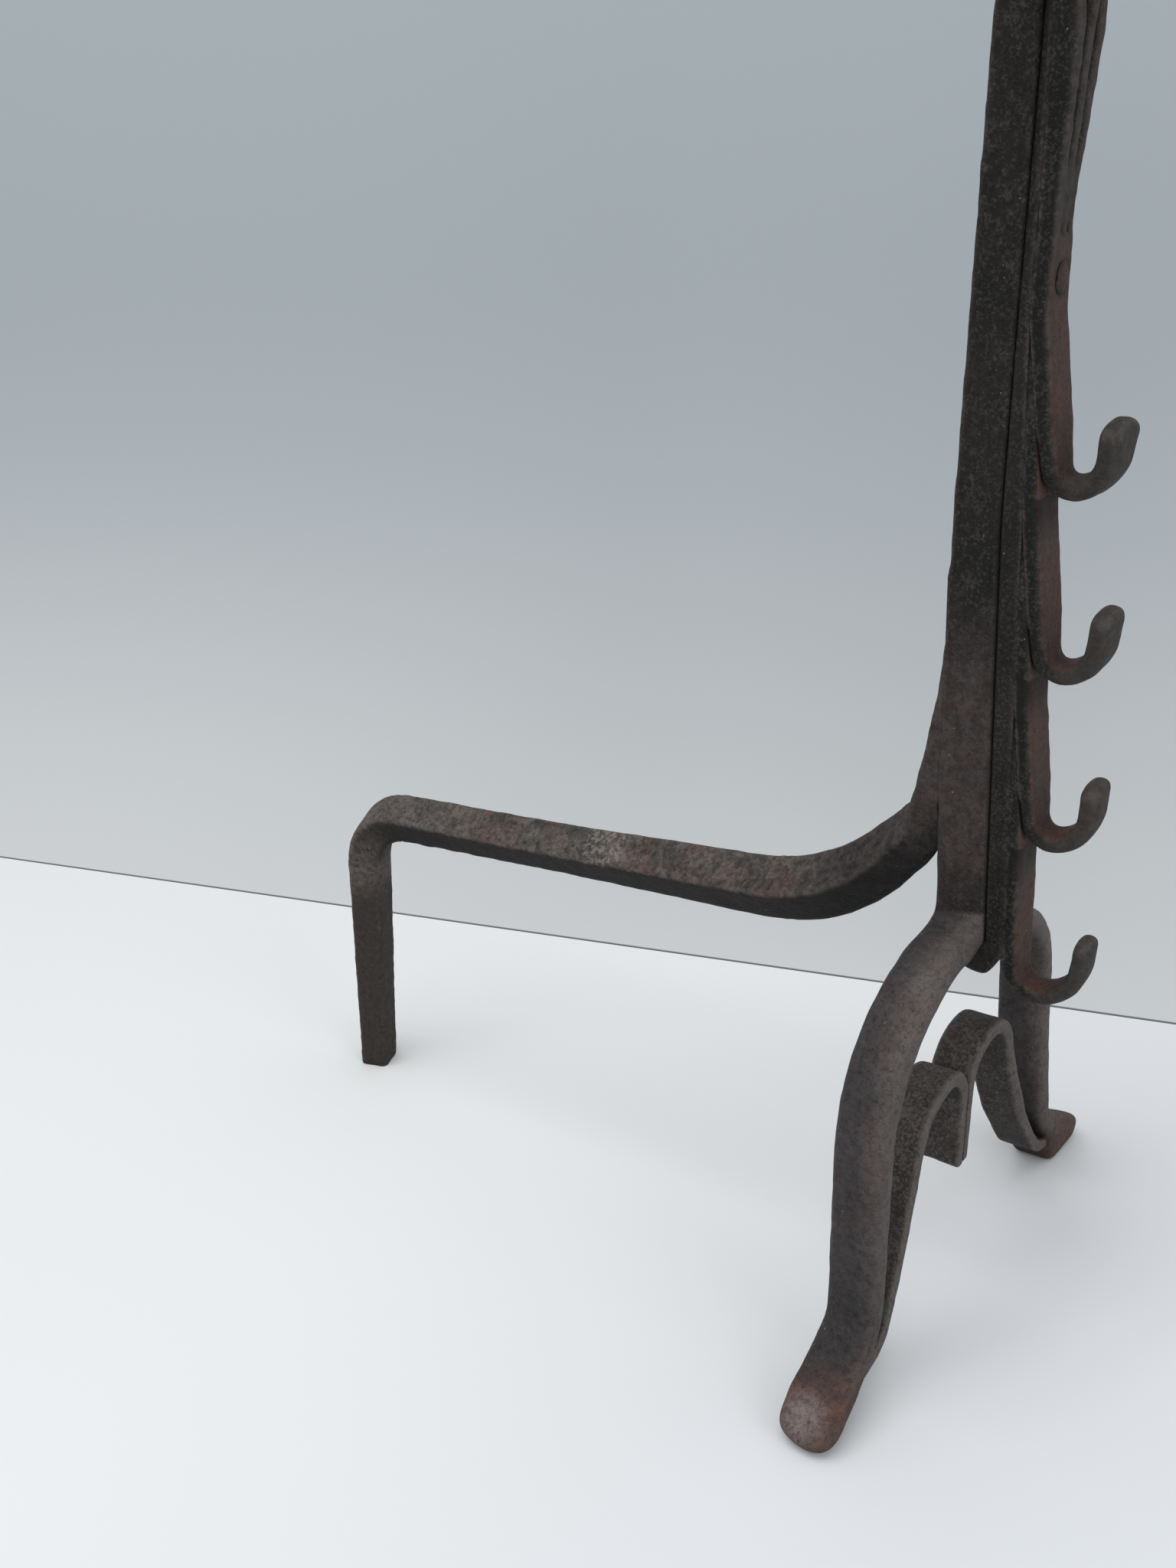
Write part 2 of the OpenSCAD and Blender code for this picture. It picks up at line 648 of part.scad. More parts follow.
module rim_rivets() {
    rivet_head_d = 2 * rim_rivet_d;
    outside = rim_r + prong_t / 2;
    inside = sqrt(hoop_inner_r * hoop_inner_r - rim_rivet_d * rim_rivet_d);
    color(worn_iron) for (angle = rivet_angles) at_rim(angle) {
        translate([0, 0, inside]) cylinder(d = rim_rivet_d, h = outside - inside);
        translate([0, 0, outside]) rivet_head(rivet_head_d, rim_head_h);
        translate([0, 0, inside]) mirror([0, 0, 1]) rivet_head(rivet_head_d, rim_tail_h);
    }
}

// The ring lies inside the prongs, where they slope outwards
RING_SHARE = 0.42;                             // of the way up the slope
ring_seat = (prong_t + ring_d) / 2 + rivet_gap;
ring_z = mix(spread_z, belly_z, RING_SHARE) + ring_seat * sin(prong_slope);
ring_r = mix(spread_r, rim_r, RING_SHARE) - ring_seat * cos(prong_slope);

module waist_ring() {
    color(iron) translate([0, basket_y, ring_z]) rotate_extrude($fn = 128)
        translate([ring_r, 0]) circle(d = ring_d, $fn = 32);
}

// ---- The whole andiron, moved so that the origin is at the middle of its box
front_y = basket_y - rim_r - curl_out - curl_t / 4;
rear_y = log_bar_l + rear_foot_s / sqrt(2) - worn_edge_r * (sqrt(2) - 1);
middle_y = (front_y + rear_y) / 2;

module placed() {
    translate([0, -middle_y, 0]) children();
}

placed() log_bar();
placed() left_leg_bar();
placed() right_leg_bar();
placed() core_bar();
placed() top_hook_fork();
placed() second_hook();
placed() third_hook();
placed() bottom_hook();
placed() left_scroll();
placed() right_scroll();
placed() column_rivet();
placed() rim_hoop();
placed() rim_rivets();
placed() waist_ring();
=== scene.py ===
import math

import bmesh
import bpy
import numpy as np
from mathutils import Matrix, Vector, noise
from mathutils.bvhtree import BVHTree


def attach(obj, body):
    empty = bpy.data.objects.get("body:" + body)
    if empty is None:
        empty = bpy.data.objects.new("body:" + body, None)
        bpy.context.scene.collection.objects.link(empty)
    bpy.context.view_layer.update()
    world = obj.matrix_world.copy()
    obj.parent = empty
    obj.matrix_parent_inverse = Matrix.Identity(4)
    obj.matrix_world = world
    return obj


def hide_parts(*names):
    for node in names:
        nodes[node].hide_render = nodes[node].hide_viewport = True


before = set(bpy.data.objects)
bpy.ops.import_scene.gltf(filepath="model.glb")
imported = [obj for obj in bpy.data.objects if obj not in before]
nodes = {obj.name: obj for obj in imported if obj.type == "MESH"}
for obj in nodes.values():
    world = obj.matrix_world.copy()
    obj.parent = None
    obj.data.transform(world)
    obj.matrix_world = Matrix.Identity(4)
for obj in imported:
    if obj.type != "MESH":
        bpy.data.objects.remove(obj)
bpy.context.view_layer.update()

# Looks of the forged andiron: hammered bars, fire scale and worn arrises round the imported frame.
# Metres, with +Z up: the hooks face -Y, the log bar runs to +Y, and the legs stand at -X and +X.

MM = 0.001


# ---- Shader nodes

class Tree:
    """A node tree that is written from left to right."""

    def __init__(self, tree):
        self.tree = tree

    def add(self, kind, **settings):
        node = self.tree.nodes.new(kind)
        for name, value in settings.items():
            setattr(node, name, value)
        return node

    def wire(self, source, target):
        self.tree.links.new(source, target)

    def put(self, node, socket, value):
        if isinstance(value, bpy.types.NodeSocket):
            self.wire(value, node.inputs[socket])
        else:
            node.inputs[socket].default_value = value

    def math(self, operation, a, b=0.0, c=0.0, clamp=False):
        node = self.add("ShaderNodeMath", operation=operation, use_clamp=clamp)
        for i, value in enumerate((a, b, c)):
            self.put(node, i, value)
        return node.outputs[0]

    def ramp(self, value, low, high, to_low=0.0, to_high=1.0):
        """A smooth step from to_low to to_high while value goes from low to high."""
        node = self.add("ShaderNodeMapRange", interpolation_type="SMOOTHSTEP")
        for name, v in (("Value", value), ("From Min", low), ("From Max", high),
                        ("To Min", to_low), ("To Max", to_high)):
            self.put(node, name, v)
        return node.outputs["Result"]

    def noise(self, vector, scale, detail=4.0, roughness=0.6):
        """Cloudy noise from 0 to 1. scale is in clouds per metre."""
        node = self.add("ShaderNodeTexNoise")
        for name, v in (("Vector", vector), ("Scale", scale), ("Detail", detail),
                        ("Roughness", roughness)):
            self.put(node, name, v)
        return node.outputs["Fac"]

    def cells(self, vector, scale):
        """Distance to the nearest of many scattered points."""
        node = self.add("ShaderNodeTexVoronoi", feature="F1")
        self.put(node, "Vector", vector)
        self.put(node, "Scale", scale)
        return node.outputs["Distance"]

    def mix(self, factor, a, b):
        node = self.add("ShaderNodeMix", data_type="RGBA")
        self.put(node, 0, factor)
        self.put(node, 6, a)
        self.put(node, 7, b)
        return node.outputs[2]


def colour(r, g, b):
    return (r, g, b, 1.0)


def new_group(name, inputs, outputs):
    """An empty shader group with named sockets. Inputs are (name, kind, default)."""
    group = bpy.data.node_groups.new(name, "ShaderNodeTree")
    for socket, kind, default in inputs:
        made = group.interface.new_socket(socket, in_out="INPUT", socket_type="NodeSocket" + kind)
        if default is not None:
            made.default_value = default
    for socket in outputs:
        group.interface.new_socket(socket, in_out="OUTPUT", socket_type="NodeSocketFloat")
    t = Tree(group)
    return group, t, t.add("NodeGroupInput").outputs, t.add("NodeGroupOutput").inputs


def place_group(t, group, **values):
    node = t.add("ShaderNodeGroup", node_tree=group)
    for name, value in values.items():
        t.put(node, name, value)
    return node.outputs


def make_speckle():
    """Fine grains in fire scale, of one size, that come and go in patches."""
    group, t, given, out = new_group(
        "scale_speckle",
        [("Vector", "Vector", None), ("Grain", "Float", 700.0), ("Cover", "Float", 0.5)],
        ["Mask"])
    grain = t.noise(given["Vector"], given["Grain"], detail=3.0, roughness=0.7)
    broad = t.math("MULTIPLY", given["Grain"], 0.12)
    thick = t.noise(given["Vector"], broad, detail=2.0, roughness=0.5)
    lift = t.math("MULTIPLY_ADD", t.math("SUBTRACT", thick, 0.5), 0.3, grain)
    low = t.math("SUBTRACT", 0.78, t.math("MULTIPLY", given["Cover"], 0.5))
    t.wire(t.ramp(lift, low, t.math("ADD", low, 0.12)), out["Mask"])
    return group


def make_patches():
    """Broad soft-edged patches, such as rust or worn scale."""
    group, t, given, out = new_group(
        "patches",
        [("Vector", "Vector", None), ("Size", "Float", 20.0), ("Cover", "Float", 0.5),
         ("Softness", "Float", 0.12)],
        ["Mask"])
    field = t.noise(given["Vector"], given["Size"], detail=6.0, roughness=0.62)
    middle = t.math("SUBTRACT", 0.75, t.math("MULTIPLY", given["Cover"], 0.5))
    low = t.math("SUBTRACT", middle, given["Softness"])
    t.wire(t.ramp(field, low, t.math("MULTIPLY_ADD", given["Softness"], 2.0, low)), out["Mask"])
    return group


def make_skin():
    """Height of a forged face: shallow scars, scale lifted in flakes, and pits."""
    group, t, given, out = new_group(
        "forged_skin",
        [("Vector", "Vector", None), ("Pits", "Float", 0.5)],
        ["Height"])
    scars = t.noise(given["Vector"], 90.0, detail=3.0, roughness=0.5)
    flakes = t.noise(given["Vector"], 900.0, detail=5.0, roughness=0.7)
    pits = t.ramp(t.cells(given["Vector"], 420.0), 0.0, 0.45)
    height = t.math("MULTIPLY_ADD", scars, 0.5, t.math("MULTIPLY", flakes, 0.35))
    depth = t.math("MULTIPLY", given["Pits"], 0.35)
    t.wire(t.math("MULTIPLY_ADD", pits, depth, height), out["Height"])
    return group


def make_wear():
    """Where arrises are worn bright: the arris mask broken up by the grain of the iron."""
    group, t, given, out = new_group(
        "arris_wear",
        [("Vector", "Vector", None), ("Arris", "Float", 0.0), ("Amount", "Float", 0.5)],
        ["Mask"])
    broken = t.noise(given["Vector"], 160.0, detail=5.0, roughness=0.7)
    edge = t.math("MULTIPLY", given["Arris"], t.ramp(broken, 0.30, 0.62))
    t.wire(t.math("MULTIPLY", edge, given["Amount"], clamp=True), out["Mask"])
    return group


SPECKLE, PATCHES, SKIN, WEAR = make_speckle(), make_patches(), make_skin(), make_wear()

BLACK_SCALE_AND_SHADE = colour(0.0065, 0.006, 0.0055)
GREY_SCALE = colour(0.034, 0.033, 0.029)
BROWN_IRON = colour(0.046, 0.036, 0.032)
RED_IRON = colour(0.082, 0.036, 0.026)
GREY_IRON = colour(0.070, 0.064, 0.062)
PALE_IRON_AND_LIGHT = colour(0.135, 0.118, 0.110)
WORN_IRON = colour(0.160, 0.136, 0.124)
FIRE_RED = colour(0.125, 0.062, 0.048)
GREEN_SCALE = colour(0.048, 0.050, 0.043)
TOE_WEAR_AND_HIGHLIGHT = colour(0.250, 0.200, 0.192)
PAINTED_SHADE_BLUE = colour(0.026, 0.026, 0.031)
DULL_IRON = colour(0.105, 0.093, 0.085)
ASH = colour(0.42, 0.39, 0.34)
FOOT_SHADOW_GREY = colour(0.16, 0.16, 0.16)


def start_material(name):
    """A material with its tree, its shader and the object's own coordinates."""
    material = bpy.data.materials.new(name)
    material.use_nodes = True
    t = Tree(material.node_tree)
    where = t.add("ShaderNodeTexCoord").outputs["Object"]
    return material, t, material.node_tree.nodes["Principled BSDF"], where


def start_iron(name, *own_masks):
    """A forged material, with the masks that paint_masks leaves on each piece."""
    material, t, shader, where = start_material(name)
    shader.inputs["Specular IOR Level"].default_value = 0.18
    masks = {}
    for mask in ("arris", "soot_and_shade", "under") + own_masks:
        masks[mask] = t.add("ShaderNodeAttribute", attribute_name=mask).outputs["Fac"]
    return material, t, shader, where, masks


def finish_iron(t, shader, where, masks, base, wear, pits, underside=0.5, grit=0.5, shine=0.0):
    """Lays grit, painted shade on undersides, worn arrises, pale flecks, and soot with painted shade
    in seams and hollows over the base tones, and gives the skin its height. All but shine, which is
    taken off the roughness, are strengths."""
    coarse = t.noise(where, 330.0, detail=5.0, roughness=0.75)
    fine = t.noise(where, 1100.0, detail=3.0, roughness=0.7)
    shade = t.mix(t.ramp(coarse, 0.50, 0.68, 0.0, grit), base, BLACK_SCALE_AND_SHADE)
    shade = t.mix(t.ramp(fine, 0.50, 0.70, 0.0, grit), shade, BLACK_SCALE_AND_SHADE)
    shade = t.mix(t.ramp(coarse, 0.48, 0.28, 0.0, 0.5 * grit), shade, PALE_IRON_AND_LIGHT)
    # Painted shade: faces that turn downwards are darkened towards black.
    shade = t.mix(t.math("MULTIPLY", masks["under"], underside), shade, BLACK_SCALE_AND_SHADE)
    worn = place_group(t, WEAR, Vector=where, Arris=masks["arris"], Amount=wear)["Mask"]
    shade = t.mix(worn, shade, WORN_IRON)
    fleck = t.ramp(t.noise(where, 420.0, detail=2.0, roughness=0.5), 0.765, 0.785)
    shade = t.mix(t.math("MULTIPLY", fleck, 0.6), shade, ASH)
    # Soot and painted shade: darker in hollows, against neighbouring bars and under the next hook.
    shade = t.mix(t.math("MULTIPLY", masks["soot_and_shade"], 0.9), shade, BLACK_SCALE_AND_SHADE)
    t.wire(shade, shader.inputs["Base Color"])
    rough = t.math("MULTIPLY_ADD", coarse, 0.3, 0.54 - shine)
    t.wire(t.math("MULTIPLY_ADD", worn, -0.14, rough), shader.inputs["Roughness"])
    t.wire(t.math("MULTIPLY", worn, 0.5), shader.inputs["Metallic"])
    bump = t.add("ShaderNodeBump")
    bump.inputs["Strength"].default_value = 1.0
    bump.inputs["Distance"].default_value = 2.0 * MM
    t.wire(place_group(t, SKIN, Vector=where, Pits=pits)["Height"], bump.inputs["Height"])
    t.wire(bump.outputs["Normal"], shader.inputs["Normal"])


def along_axis(t, where, axis, none_at, full_at, ragged=0.02):
    """0 at none_at and 1 at full_at, in metres along an axis, with an edge that wanders."""
    split = t.add("ShaderNodeSeparateXYZ")
    t.wire(where, split.inputs[0])
    wander = t.math("SUBTRACT", t.noise(where, 30.0), 0.5)
    return t.ramp(t.math("MULTIPLY_ADD", wander, ragged, split.outputs[axis]), none_at, full_at)


def patch(t, where, size, cover, softness, strength=1.0):
    """Patches, from 0 to strength. size is in patches per metre."""
    mask = place_group(t, PATCHES, Vector=where, Size=size, Cover=cover, Softness=softness)["Mask"]
    return t.math("MULTIPLY", mask, strength)


def mottle(t, where, base, tone, **patches):
    """The base with patches of another tone over it."""
    return t.mix(patch(t, where, **patches), base, tone)


def speckle(t, where, base, tone, grain, cover):
    """The base with fine grains of another tone in it. grain is in grains per metre."""
    return t.mix(place_group(t, SPECKLE, Vector=where, Grain=grain, Cover=cover)["Mask"],
                 base, tone)


def speckled_scale(t, where):
    """Near-black scale with grey grains, as on the sides of the column."""
    return speckle(t, where, BLACK_SCALE_AND_SHADE, GREY_SCALE, grain=640.0, cover=0.54)


def make_column_iron():
    """Near black and speckled grey all over."""
    material, t, shader, where, masks = start_iron("column_iron")
    base = mottle(t, where, speckled_scale(t, where), BROWN_IRON,
                  size=24.0, cover=0.5, softness=0.2, strength=0.3)
    finish_iron(t, shader, where, masks, base, wear=0.25, pits=0.8, grit=0.3)
    return material


def column_tones(t, where):
    """Black speckled scale high up, lighter and browner lower down, and scale over the crease."""
    upper = mottle(t, where, speckled_scale(t, where), BROWN_IRON,
                   size=24.0, cover=0.5, softness=0.2, strength=0.25)
    lower = mottle(t, where, BROWN_IRON, GREY_IRON,
                   size=40.0, cover=0.5, softness=0.2, strength=0.6)
    lower = mottle(t, where, lower, FIRE_RED,
                   size=130.0, cover=0.45, softness=0.1, strength=0.22)
    lower = mottle(t, where, lower, BLACK_SCALE_AND_SHADE,
                   size=190.0, cover=0.45, softness=0.1, strength=0.4)
    over_crease = along_axis(t, where, "Z", none_at=0.283, full_at=0.246, ragged=0.03)
    lower = t.mix(t.math("MULTIPLY", over_crease, 0.6), lower, speckled_scale(t, where))
    low_down = along_axis(t, where, "Z", none_at=0.42, full_at=0.33, ragged=0.06)
    return t.mix(low_down, upper, lower)


def leg_tones(t, where, back):
    """Grey-brown and mottled red, darker at the ankle, with painted shade towards the back edge and
    painted light towards the front.
    """
    leg = mottle(t, where, PALE_IRON_AND_LIGHT, GREY_IRON, size=18.0, cover=0.5, softness=0.25)
    leg = mottle(t, where, leg, FIRE_RED, size=60.0, cover=0.5, softness=0.15, strength=0.3)
    leg = mottle(t, where, leg, BLACK_SCALE_AND_SHADE, size=150.0, cover=0.45, softness=0.1, strength=0.35)
    ankle = t.math("MULTIPLY",
                   along_axis(t, where, "Z", none_at=0.090, full_at=0.060, ragged=0.03),
                   along_axis(t, where, "Z", none_at=0.028, full_at=0.040, ragged=0.02))
    leg = t.mix(t.math("MULTIPLY", ankle, 0.35), leg, GREY_SCALE)
    # Painted shade towards the back edge, and painted light towards the front.
    leg = t.mix(t.ramp(back, 0.3, 1.0, 0.0, 0.6), leg, PAINTED_SHADE_BLUE)
    return t.mix(t.ramp(back, 0.6, 0.1, 0.0, 0.45), leg, PALE_IRON_AND_LIGHT)


def toe_tones(t, where, rub_and_highlight):
    """Red-brown, with a pale patch that is partly wear and partly a painted highlight."""
    toe = mottle(t, where, FIRE_RED, BROWN_IRON, size=75.0, cover=0.5, softness=0.12, strength=0.6)
    # Pale patch: partly wear, partly a painted highlight.
    toe = t.mix(t.math("MULTIPLY", rub_and_highlight, 0.9), toe, TOE_WEAR_AND_HIGHLIGHT)
    return mottle(t, where, toe, GREY_SCALE, size=240.0, cover=0.4, softness=0.08, strength=0.45)


def make_leg_iron():
    """The column's tones down to the crease, then the leg's and the toe's."""
    material, t, shader, where, masks = start_iron("leg_iron", "shin", "back", "rub_and_highlight")
    toe = along_axis(t, where, "Z", none_at=0.036, full_at=0.020)
    lower = t.mix(toe, leg_tones(t, where, masks["back"]), toe_tones(t, where, masks["rub_and_highlight"]))
    base = t.mix(masks["shin"], column_tones(t, where), lower)
    finish_iron(t, shader, where, masks, base, wear=0.4, pits=0.7, shine=0.02)
    return material


def make_hook_iron():
    """Reddish fronts on the stems, dark speckled sides, grey-brown tips."""
    material, t, shader, where, masks = start_iron("hook_iron", "front")
    tip = mottle(t, where, BROWN_IRON, GREY_SCALE, size=40.0, cover=0.5, softness=0.2)
    red = mottle(t, where, BROWN_IRON, RED_IRON, size=24.0, cover=0.5, softness=0.2)
    side_tip = along_axis(t, where, "Y", none_at=-0.205, full_at=-0.222, ragged=0.012)
    side = t.mix(side_tip, speckled_scale(t, where), tip)
    high_up = along_axis(t, where, "Z", none_at=0.52, full_at=0.57, ragged=0.03)
    front_tip = along_axis(t, where, "Y", none_at=-0.222, full_at=-0.230, ragged=0.004)
    front = t.mix(front_tip, t.mix(high_up, red, tip), tip)
    base = t.mix(masks["front"], side, front)
    finish_iron(t, shader, where, masks, base, wear=0.35, pits=0.6, underside=0.2, grit=0.4)
    return material


def log_run_tones(t, where):
    """Mottled pale, red and green-grey by the fire, paler to the rear, with an ashy patch."""
    run = mottle(t, where, GREY_IRON, PALE_IRON_AND_LIGHT, size=30.0, cover=0.6, softness=0.12)
    run = mottle(t, where, run, FIRE_RED, size=26.0, cover=0.45, softness=0.1, strength=0.6)
    run = mottle(t, where, run, GREEN_SCALE, size=48.0, cover=0.5, softness=0.08, strength=0.7)
    run = mottle(t, where, run, WORN_IRON, size=120.0, cover=0.4, softness=0.06, strength=0.6)
    rear = along_axis(t, where, "Y", none_at=0.10, full_at=0.22, ragged=0.05)
    run = t.mix(t.math("MULTIPLY", rear, 0.45), run, WORN_IRON)
    run = mottle(t, where, run, BLACK_SCALE_AND_SHADE, size=300.0, cover=0.45, softness=0.07, strength=0.45)
    ashy = t.math("MULTIPLY",
                  along_axis(t, where, "Y", none_at=0.030, full_at=0.042),
                  along_axis(t, where, "Y", none_at=0.070, full_at=0.058))
    ashy = t.math("MULTIPLY", ashy,
                  patch(t, where, size=330.0, cover=0.42, softness=0.05, strength=0.5))
    return t.mix(ashy, run, ASH)


def make_log_iron():
    """The column's tones at the weld, dark iron round the bend, the mottled run, a brown foot."""
    material, t, shader, where, masks = start_iron("log_iron")
    foot = along_axis(t, where, "Z", none_at=0.165, full_at=0.13, ragged=0.03)
    base = t.mix(foot, log_run_tones(t, where), BROWN_IRON)
    root = mottle(t, where, BROWN_IRON, GREY_IRON, size=24.0, cover=0.5, softness=0.2, strength=0.5)
    root = mottle(t, where, root, BLACK_SCALE_AND_SHADE, size=190.0, cover=0.45, softness=0.12, strength=0.8)
    base = t.mix(along_axis(t, where, "Y", none_at=-0.07, full_at=-0.115, ragged=0.03), base, root)
    weld = along_axis(t, where, "Z", none_at=0.275, full_at=0.292, ragged=0.01)
    base = t.mix(weld, base, column_tones(t, where))
    finish_iron(t, shader, where, masks, base, wear=0.3, pits=0.9, underside=0.95)
    return material


def make_scroll_iron():
    """Grey-brown iron, pitted and speckled, with paler fronts."""
    material, t, shader, where, masks = start_iron("scroll_iron", "front")
    base = speckle(t, where, BROWN_IRON, DULL_IRON, grain=560.0, cover=0.66)
    base = mottle(t, where, base, GREY_SCALE, size=44.0, cover=0.5, softness=0.12, strength=0.5)
    base = t.mix(t.math("MULTIPLY", masks["front"], 0.6), base, PALE_IRON_AND_LIGHT)
    finish_iron(t, shader, where, masks, base, wear=0.8, pits=0.9, underside=0.4)
    return material


COLUMN, LEG, HOOK, LOG, SCROLL = (make_column_iron(), make_leg_iron(), make_hook_iron(),
                                  make_log_iron(), make_scroll_iron())


# ---- Forged pieces

def read_mesh(mesh):
    """Places and normals of the points, and the pairs of points that edges join."""
    n = len(mesh.vertices)
    places, normals = np.empty(n * 3, np.float32), np.empty(n * 3, np.float32)
    pairs = np.empty(len(mesh.edges) * 2, np.int32)
    mesh.vertices.foreach_get("co", places)
    mesh.vertices.foreach_get("normal", normals)
    mesh.edges.foreach_get("vertices", pairs)
    return places.reshape(n, 3).astype(float), normals.reshape(n, 3), pairs.reshape(-1, 2)


def move_to(mesh, places):
    """Writes new places for the points of a mesh."""
    mesh.vertices.foreach_set("co", places.astype(np.float32).ravel())
    mesh.update()


def sum_at_points(at_a, at_b, pairs, n):
    """Adds up, at every point, what each edge gives to its first and to its second end."""
    return np.bincount(pairs[:, 0], at_a, n) + np.bincount(pairs[:, 1], at_b, n)


def edges_at_points(pairs, n):
    ends = np.ones(len(pairs))
    return np.maximum(sum_at_points(ends, ends, pairs, n), 1)


def neighbour_mean(values, pairs, rounds, share=0.5):
    """Values evened out along the edges of a mesh. share may differ from point to point."""
    a, b = pairs.T
    n = len(values)
    count = edges_at_points(pairs, n)
    for _ in range(rounds):
        total = sum_at_points(values[b], values[a], pairs, n)
        values = values + share * (total / count - values)
    return values


def smooth_step(values, low, high):
    """0 up to low, 1 from high on, and a smooth rise between them."""
    f = np.clip((values - low) / (high - low), 0, 1)
    return f * f * (3 - 2 * f)


# No gap is measured past this
REACH = 4.0 * MM


def gaps_to(names, places):
    """How far each place is from these CAD nodes, up to REACH, and which way along Y they lie."""
    corners, faces = [], []
    for name in names:
        start = len(corners)
        corners += [v.co.copy() for v in nodes[name].data.vertices]
        faces += [[start + i for i in face.vertices] for face in nodes[name].data.polygons]
    tree = BVHTree.FromPolygons(corners, faces)
    gaps, ways = np.full(len(places), REACH), np.zeros(len(places))
    for i, p in enumerate(places):
        spot, _, _, gap = tree.find_nearest(Vector(p), REACH)
        if spot is not None:
            gaps[i], ways[i] = gap, np.sign(spot.y - p[1])
    return gaps, ways


HOOKS = ("bottom_hook", "third_hook", "second_hook", "top_hook_fork")
LEGS = ("left_leg_bar", "right_leg_bar")
# Height of the bottom hook's underside, and the step from hook to hook
HOOK_FOOT, HOOK_STEP = 194 * MM, 86 * MM
# Where faces that are beaten flush come to lie, just inside the column's half width of 13 mm
COLUMN_SIDE = 12.9 * MM
# Heights between which the log bar's weld up the legs' backs closes
WELD_OPEN, WELD_SHUT = 290 * MM, 302 * MM
# How far a seam that is hammered shut is drawn towards its neighbour
SEAM_DRAW = 0.7 * MM


def shut_seams(node, places):
    """1 along seams that are hammered shut, and which way they lie along Y: the hooks' scarfs,
    save for a short open crack over each hook, and the log bar's weld up the legs' backs."""
    z = places[:, 2]
    shut, way = np.zeros(len(places)), np.zeros(len(places))
    welds = []
    if node in HOOKS:
        over_hook = (z - HOOK_FOOT) % HOOK_STEP
        closed = smooth_step(over_hook, 22 * MM, 34 * MM)
        welds = [([h for h in HOOKS if h != node], closed), (["core_bar"], 1.0)]
    elif node == "core_bar":
        welds = [(HOOKS, 1.0)]
    elif node == "log_bar":
        welds = [(LEGS, smooth_step(z, WELD_OPEN, WELD_SHUT))]
    elif node in LEGS:
        welds = [(["log_bar"], smooth_step(z, WELD_OPEN, WELD_SHUT))]
    for others, share in welds:
        gaps, ways = gaps_to(others, places)
        near = share * (1 - smooth_step(gaps, 1.6 * MM, 3.4 * MM))
        way = np.where(near > shut, ways, way)
        shut = np.maximum(shut, near)
    return shut, way


# The log bar's middle line from its weld down to its foot: y, z and the bend's radius, in metres
LOG_LINE = [(-0.1535, 0.330, 0), (-0.1534, 0.300, 0), (-0.1484, 0.275, 0.035),
            (-0.0969, 0.2218, 0.110), (0.2491, 0.2010, 0.042), (0.2701, 0.0, 0)]
# How far the real bar is turned from the CAD one: mm along the line, degrees
LOG_TURNS = [(34, 0), (60, 28), (72, 38), (85, 49), (100, 61), (115, 71), (130, 78),
             (300, 79), (390, 76), (440, 71), (480, 64), (520, 60)]


def bent_line(marks):
    """Points along straight runs with round bends between them."""
    marks = np.array(marks)
    spots, radii = marks[:, :2], marks[:, 2]
    steps = 20
    line = [spots[0]]
    for before, corner, after, radius in zip(spots[:-2], spots[1:-1], spots[2:], radii[1:-1]):
        way_in = (corner - before) / np.linalg.norm(corner - before)
        way_out = (after - corner) / np.linalg.norm(after - corner)
        side = np.array([-way_in[1], way_in[0]])
        side *= np.sign(side @ way_out)
        bend = math.acos(way_in @ way_out)
        start = corner - way_in * radius * math.tan(0.5 * bend)
        for angle in np.linspace(0, bend, steps if radius else 1):
            line.append(start + radius * (side * (1 - math.cos(angle)) + way_in * math.sin(angle)))
    return np.array(line + [spots[-1]])


def turn_along(places, line, turns):
    """Turns a bar about its middle line, by degrees given at mm along it. Each point turns about
    the spot of the line that it is nearest to."""
    ways = np.diff(line, axis=0)
    lengths = np.linalg.norm(ways, axis=1)
    ways /= lengths[:, None]
    along = np.concatenate([[0], np.cumsum(lengths)[:-1]])
    spots = places[:, 1:]
    offset = spots[:, None, :] - line[None, :-1, :]
    run = np.clip(np.einsum("nij,ij->ni", offset, ways), 0, lengths)
    away = np.linalg.norm(offset - run[:, :, None] * ways, axis=2)
    best = np.argmin(away, axis=1)
    rows = np.arange(len(places))
    way = ways[best]
    foot = line[best] + run[rows, best][:, None] * way
    across = np.stack([-way[:, 1], way[:, 0]], 1)
    x = places[:, 0].copy()
    n = np.einsum("ij,ij->i", spots - foot, across)
    marks, degrees = np.array(turns, float).T
    turn = np.radians(np.interp(along[best] + run[rows, best], marks * MM, degrees))
    places[:, 0] = x * np.cos(turn) - n * np.sin(turn)
    moved = x * np.sin(turn) + n * np.cos(turn) - n
    places[:, 1:] += across * moved[:, None]


# How far the real bars are from the even CAD ones
LEFT_SHOULDER_RISE = 7 * MM
RIGHT_SHOULDER_DROP = 10 * MM
RIGHT_FOOT_FORWARD = 10 * MM
RIGHT_SCROLL_SWEEP = 16 * MM
CORE_END_BACK = 6.5 * MM
CORE_END_RISE = 1.5 * MM
LOG_RUN_RISE = 2.0 * MM
LOG_WELD_DRAW = 1.6 * MM
LEG_FULLNESS = 1.8 * MM


